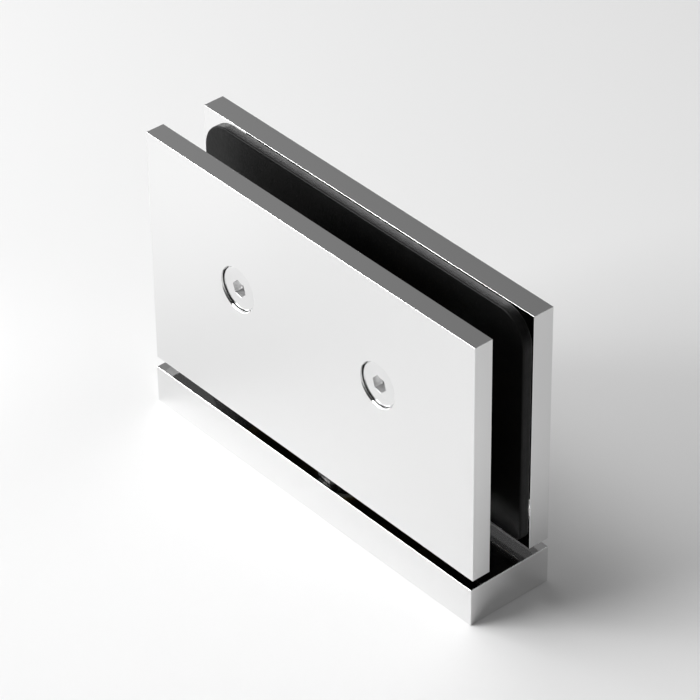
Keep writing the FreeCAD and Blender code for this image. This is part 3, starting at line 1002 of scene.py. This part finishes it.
for name, side in SIDES:
    low, high = box_of("sleeve_" + name)
    piece = collar(
        "sleeve_" + name + "_shown",
        inner=BOSS_RADIUS + SLEEVE_PLAY,
        outer=(high[0] - low[0]) / 2,
        length=high[1] - low[1],
        ease=SLEEVE_EASE,
        start=(side * CLAMP_SCREW_X, low[1], CLAMP_SCREW_Z),
        along=Y,
        across=X,
    )
    fit(piece, "sleeve_" + name, "clamp", WHITE_PLASTIC)


# Gaskets
# Two black rubber sheets bonded to the plates' inner faces, cut out round the hinge body and the
# sleeves. The rim on the glass side is moulded round, and a fine grain shows where light grazes it.
GASKET_CORNER = 8.0 * MM
GASKET_FOOT = 1.5 * MM
GASKET_MARGIN = 1.0 * MM
GASKET_ROUND = 0.5 * MM
BODY_CORNER = 6.0 * MM
EAR_GAP = 0.3 * MM
ARC_STEPS = 14
RUBBER_COLOUR = (0.0025, 0.0025, 0.0025, 1)
RUBBER_DUST = (0.007, 0.007, 0.007, 1)
RUBBER_ROUGHNESS = 0.42


def black_rubber():
    """Moulded rubber: grain, a little dust, and a soft low sheen."""
    made, nodes, links, shader = material("black_rubber", RUBBER_COLOUR, RUBBER_ROUGHNESS)
    shader.inputs["Specular IOR Level"].default_value = 0.14
    tint = use(nodes, TINT, Scale=260.0, Clean=RUBBER_COLOUR, Dull=RUBBER_DUST)
    haze = use(nodes, HAZE, Middle=RUBBER_ROUGHNESS, Spread=0.25, Scale=700.0)
    grain = use(nodes, GRAIN, Scale=2600.0)
    links.new(tint.outputs["Color"], shader.inputs["Base Color"])
    links.new(haze.outputs["Roughness"], shader.inputs["Roughness"])
    bumped(nodes, links, shader, grain.outputs["Height"], strength=0.8, distance=0.00006)
    return made


def bend(centre, radius, start_deg, end_deg):
    """Points of an arc: centre + radius (cos a, sin a)."""
    angle = np.radians(np.linspace(start_deg, end_deg, ARC_STEPS))
    return np.array(centre) + radius * np.stack([np.cos(angle), np.sin(angle)], axis=1)


def gasket_outline(low, high):
    """The right half from the notch's middle round to the top's middle, then its mirror image."""
    body_high = box_of("hinge_body")[1]
    sleeve_low, sleeve_high = box_of("sleeve_right")
    notch_x = body_high[0] + GASKET_MARGIN
    notch_top = body_high[2] + GASKET_MARGIN
    corner = BODY_CORNER + GASKET_MARGIN
    ear = (sleeve_high[0] - sleeve_low[0]) / 2 + EAR_GAP
    ear_x, ear_z = (sleeve_low[0] + sleeve_high[0]) / 2, (sleeve_low[2] + sleeve_high[2]) / 2
    arch = np.array((notch_x - corner, notch_top - corner))
    meeting = np.degrees(np.arccos((ear_x + ear - arch[0]) / corner))
    half = np.vstack(
        [
            [(ear_x - ear, notch_top)],
            bend((ear_x, ear_z), ear, 180, 0),
            bend(arch, corner, meeting, 0),
            [(notch_x, low[2])],
            bend((high[0] - GASKET_FOOT, low[2] + GASKET_FOOT), GASKET_FOOT, -90, 0),
            bend((high[0] - GASKET_CORNER, high[2] - GASKET_CORNER), GASKET_CORNER, 0, 90),
        ]
    )
    return np.vstack([half, half[::-1] * (-1, 1)])


def gasket(node, plate_side, glass_side):
    """The rim's line carried round the outline: each row is P - d m, where m is the mitred normal
    (n1 + n2) / (1 + n1.n2) of the two sides that meet at P."""
    path = gasket_outline(*box_of(node))
    along = np.roll(path, -1, axis=0) - path
    normal = np.stack([along[:, 1], -along[:, 0]], axis=1)
    normal /= np.linalg.norm(normal, axis=1, keepdims=True)
    before = np.roll(normal, 1, axis=0)
    mitre = (normal + before) / (1 + np.sum(normal * before, axis=1, keepdims=True))
    thickness = abs(glass_side - plate_side)
    line = eased([(0, 0), (0, thickness), (2 * GASKET_ROUND, thickness)], GASKET_ROUND)
    flat = path - line[:, :1, None] * mitre
    height = plate_side + np.sign(glass_side - plate_side) * line[:, 1]
    rows = np.dstack([flat, np.broadcast_to(height[:, None], flat.shape[:2])])
    return skin(node + "_shown", [(rows[:, :, (0, 2, 1)], None)], closed=False, capped=True)


RUBBER = black_rubber()
rubber_low, rubber_high = box_of("front_gasket")
fit(gasket("front_gasket", rubber_low[1], rubber_high[1]), "front_gasket", "clamp", RUBBER)
rubber_low, rubber_high = box_of("rear_gasket")
fit(gasket("rear_gasket", rubber_high[1], rubber_low[1]), "rear_gasket", "clamp", RUBBER)


# Front plate
# The chrome plate on the outside of the door. Each clamp screw sits in a straight recess,
# whose floor falls away round the head before the 90 degree seat begins.
RECESS_RADIUS = 5.95 * MM
RECESS_DEPTH = 1.5 * MM
HEAD_RADIUS = 5.65 * MM
HEAD_SINK = 0.6 * MM
SEAT_GAP = 0.02 * MM
SCREW_HOLE_RADIUS = 3.3 * MM


def front_plate():
    """Two mirrored cells that meet at the plate's middle line."""
    low, high = box_of("front_plate")
    seat_top = HEAD_SINK + HEAD_RIM
    seat_radius = HEAD_RADIUS + SEAT_GAP - (RECESS_DEPTH - seat_top)
    line = eased(
        [
            (RECESS_RADIUS + RIM_LEAD, low[1]),
            (RECESS_RADIUS, low[1]),
            (RECESS_RADIUS, low[1] + RECESS_DEPTH),
            (seat_radius, low[1] + RECESS_DEPTH),
            (SCREW_HOLE_RADIUS, low[1] + RECESS_DEPTH + seat_radius - SCREW_HOLE_RADIUS),
            (SCREW_HOLE_RADIUS, high[1]),
            (SCREW_HOLE_RADIUS + RIM_LEAD, high[1]),
        ],
        RIM_EDGE,
    )
    cells = []
    for side, outer in ((1, (1, 1, 0, 1)), (-1, (0, 1, 1, 1))):
        x_low, x_high = sorted((0, side * high[0]))
        centre = (side * CLAMP_SCREW_X, CLAMP_SCREW_Z)
        cells.append(((x_low, low[2]), (x_high, high[2]), centre, outer, round_hole(centre, line)))
    return drilled_slab("front_plate_shown", cells, low[1], high[1], PLATE_EDGE, (0, 2, 1))


front_piece = front_plate()
fit(front_piece, "front_plate", "clamp", CHROME)
# Painted shade on the front plate's lower edge.
paint_underside_shade(front_piece, REAR_LOW[2])


# Clamp screws
# Two countersunk socket screws of polished stainless steel that draw the plates on the glass.
# Their faces keep fine tool rings, and their rims are rounded.
CLAMP_HEX = 4.0 * MM
CLAMP_HEX_TURN = radians(12.5)
CLAMP_SCREW_RADIUS = 3.0 * MM
CLAMP_SCREW_LENGTH = 16.0 * MM
CLAMP_SCREW_PITCH = 1.0 * MM
SOCKET_LIP = 0.01 * MM
FACE_COLOUR = (0.82, 0.82, 0.82, 1)
FACE_SHADE = (0.74, 0.74, 0.74, 1)
FACE_RING = 0.4 * MM
BROACH_SHADE = (0.6, 0.6, 0.6, 1)


def screw_face(name, centre):
    """Polished steel with tool rings round one screw's axis."""
    made, nodes, links, shader = metal(
        name, FACE_COLOUR, FACE_SHADE, roughness=0.09, spread=0.06, scale=200.0
    )
    rings = ringed(nodes, links, centre, across=(1, 0, 1), spacing=FACE_RING)
    bumped(nodes, links, shader, rings, strength=0.4, distance=0.00001)
    return made


def line_socket(piece, start, finish):
    """Gives a second finish to the faces inside the socket, which lie nearer the axis than its
    corners and below the head's top."""
    mesh = piece.data
    centre = np.empty(3 * len(mesh.polygons))
    mesh.polygons.foreach_get("center", centre)
    across = centre.reshape(-1, 3) - start
    depth = across[:, 1]
    away = np.hypot(across[:, 0], across[:, 2])
    inside = (away < CLAMP_HEX / 2 / cos(pi / 6)) & (depth > SOCKET_LIP) & (depth < CLAMP_HEX)
    mesh.materials.append(finish)
    mesh.polygons.foreach_set("material_index", inside.astype(np.int32))


BROACHED = grained_metal(
    "broached_steel", FACE_COLOUR, BROACH_SHADE,
    roughness=0.36, spread=0.2, scale=500.0, grain=1800.0, strength=0.5, distance=0.00008,
)
for name, side in SIDES:
    start = np.array((side * CLAMP_SCREW_X, CLAMP_SCREW_LOW[1], CLAMP_SCREW_Z))
    piece = screw(
        "clamp_screw_" + name + "_shown",
        head=countersunk_head(CLAMP_SCREW_RADIUS, HEAD_RADIUS),
        radius=CLAMP_SCREW_RADIUS,
        length=CLAMP_SCREW_LENGTH,
        pitch=CLAMP_SCREW_PITCH,
        socket=(CLAMP_HEX, SOCKET_SHARE * CLAMP_HEX),
        hex_turn=CLAMP_HEX_TURN,
        start=start,
        along=Y,
        across=X,
    )
    finish = screw_face("clamp_screw_steel_" + name, tuple(start))
    fit(piece, "clamp_screw_" + name, "clamp", finish)
    line_socket(piece, start, BROACHED)


# Floor and light
# A white paper sheet under the hinge, two soft lights at the left in front of it, one above it,
# two weak ones and a narrow spot on the paper, in a dim room that glows at its left and back.
FLOOR_REACH = 6.0
FLOOR_COLOUR = (0.85, 0.85, 0.85, 1)
LAMP_DISTANCE = 1.2
GLOW_TIGHTNESS = 6.0
FLOOR_SPOT_PLACE = Vector((-0.4, -0.4, 0.5))
FLOOR_SPOT_AIM = Vector((-0.122, -0.062, 0))
FLOOR_SPOT_ANGLE = radians(8.5)
FLOOR_SPOT_POWER = 2.6

floor_mesh = bpy.data.meshes.new("floor")
floor_corners = [(x * FLOOR_REACH, y * FLOOR_REACH, 0) for x, y in ((-1, -1), (1, -1), (1, 1), (-1, 1))]
floor_mesh.from_pydata(floor_corners, [], [(0, 1, 2, 3)])
floor = bpy.data.objects.new("floor", floor_mesh)
bpy.context.scene.collection.objects.link(floor)
paper, _, _, paper_shader = material("white_paper", FLOOR_COLOUR, roughness=0.9)
paper_shader.inputs["Specular IOR Level"].default_value = 0.1
floor_mesh.materials.append(paper)


def direction(azimuth, elevation):
    """The unit vector (cos e cos a, cos e sin a, sin e), in degrees."""
    a, e = radians(azimuth), radians(elevation)
    return Vector((cos(e) * cos(a), cos(e) * sin(a), sin(e)))


def soft_light(name, azimuth, elevation, width, height, power):
    """A rectangular light that faces the hinge from the lamps' distance."""
    data = bpy.data.lights.new(name, "AREA")
    data.shape = "RECTANGLE"
    data.size = width
    data.size_y = height
    data.energy = power
    way = direction(azimuth, elevation)
    lamp = bpy.data.objects.new(name, data)
    lamp.location = LAMP_DISTANCE * way
    lamp.rotation_euler = (-way).to_track_quat("-Z", "Y").to_euler()
    bpy.context.scene.collection.objects.link(lamp)


soft_light("left key", azimuth=215, elevation=18, width=0.75, height=0.5, power=8.2)
soft_light("front key", azimuth=238, elevation=28, width=0.6, height=0.5, power=8.4)
soft_light("top", azimuth=220, elevation=68, width=0.6, height=0.5, power=5.6)
soft_light("back fill", azimuth=60, elevation=60, width=0.6, height=0.6, power=0.9)
soft_light("side fill", azimuth=150, elevation=15, width=0.6, height=0.6, power=0.7)

spot_data = bpy.data.lights.new("floor spot", "SPOT")
spot_data.energy = FLOOR_SPOT_POWER
spot_data.spot_size = FLOOR_SPOT_ANGLE
spot_data.spot_blend = 1.0
spot_data.shadow_soft_size = 0.02
spot = bpy.data.objects.new("floor spot", spot_data)
spot.location = FLOOR_SPOT_PLACE
spot.rotation_euler = (FLOOR_SPOT_AIM - FLOOR_SPOT_PLACE).to_track_quat("-Z", "Y").to_euler()
bpy.context.scene.collection.objects.link(spot)

world = bpy.data.worlds.new("room")
bpy.context.scene.world = world
world.use_nodes = True
room = world.node_tree


def glow(azimuth, elevation, strength):
    """Strength x exp(tightness x (cosine of the angle to a direction - 1))."""
    view = room.nodes.new("ShaderNodeTexCoord")
    facing = room.nodes.new("ShaderNodeVectorMath")
    facing.operation = "DOT_PRODUCT"
    facing.inputs[1].default_value = direction(azimuth, elevation)
    room.links.new(view.outputs["Generated"], facing.inputs[0])
    off = maths(room, "SUBTRACT", facing.outputs["Value"], 1.0)
    fall = maths(room, "EXPONENT", maths(room, "MULTIPLY", off, GLOW_TIGHTNESS), 0.0)
    return maths(room, "MULTIPLY", fall, strength)


background = room.nodes["Background"]
background.inputs["Color"].default_value = (1, 1, 1, 1)
left_glow = glow(azimuth=180, elevation=22, strength=0.68)
high_glow = glow(azimuth=60, elevation=52, strength=0.24)
back_glow = glow(azimuth=90, elevation=22, strength=0.1)
right_glow = glow(azimuth=315, elevation=15, strength=0.22)
left_and_high = maths(room, "ADD", left_glow, high_glow)
back_and_right = maths(room, "ADD", back_glow, right_glow)
light = maths(room, "ADD", left_and_high, back_and_right)
room.links.new(light, background.inputs["Strength"])


# Camera
# A long lens from the right in front and above, fitted to the corners of the plates
# and the base.
CAMERA_AZIMUTH = radians(49.561)
CAMERA_ELEVATION = radians(36.545)
CAMERA_ROLL = radians(-0.773)
CAMERA_DISTANCE = 0.896873
CAMERA_SIDE = 0.00117
CAMERA_TARGET_HEIGHT = 0.040897
CAMERA_LENS = 198.362
CAMERA_SENSOR = 36.0

back = Vector(
    (
        sin(CAMERA_AZIMUTH) * cos(CAMERA_ELEVATION),
        -cos(CAMERA_AZIMUTH) * cos(CAMERA_ELEVATION),
        sin(CAMERA_ELEVATION),
    )
)
level = Vector((cos(CAMERA_AZIMUTH), sin(CAMERA_AZIMUTH), 0))
upward = level.cross(-back)
right = cos(CAMERA_ROLL) * level + sin(CAMERA_ROLL) * upward
up = cos(CAMERA_ROLL) * upward - sin(CAMERA_ROLL) * level
place = Vector((0, 0, CAMERA_TARGET_HEIGHT)) + CAMERA_DISTANCE * back + CAMERA_SIDE * level
camera_data = bpy.data.cameras.new("camera")
camera_data.lens = CAMERA_LENS
camera_data.sensor_width = CAMERA_SENSOR
camera_data.clip_end = 20
camera = bpy.data.objects.new("camera", camera_data)
camera.matrix_world = Matrix.Translation(place) @ Matrix((right, up, back)).transposed().to_4x4()
bpy.context.scene.collection.objects.link(camera)
bpy.context.scene.camera = camera
bpy.context.scene.view_settings.view_transform = "Standard"

low, high = cad_box
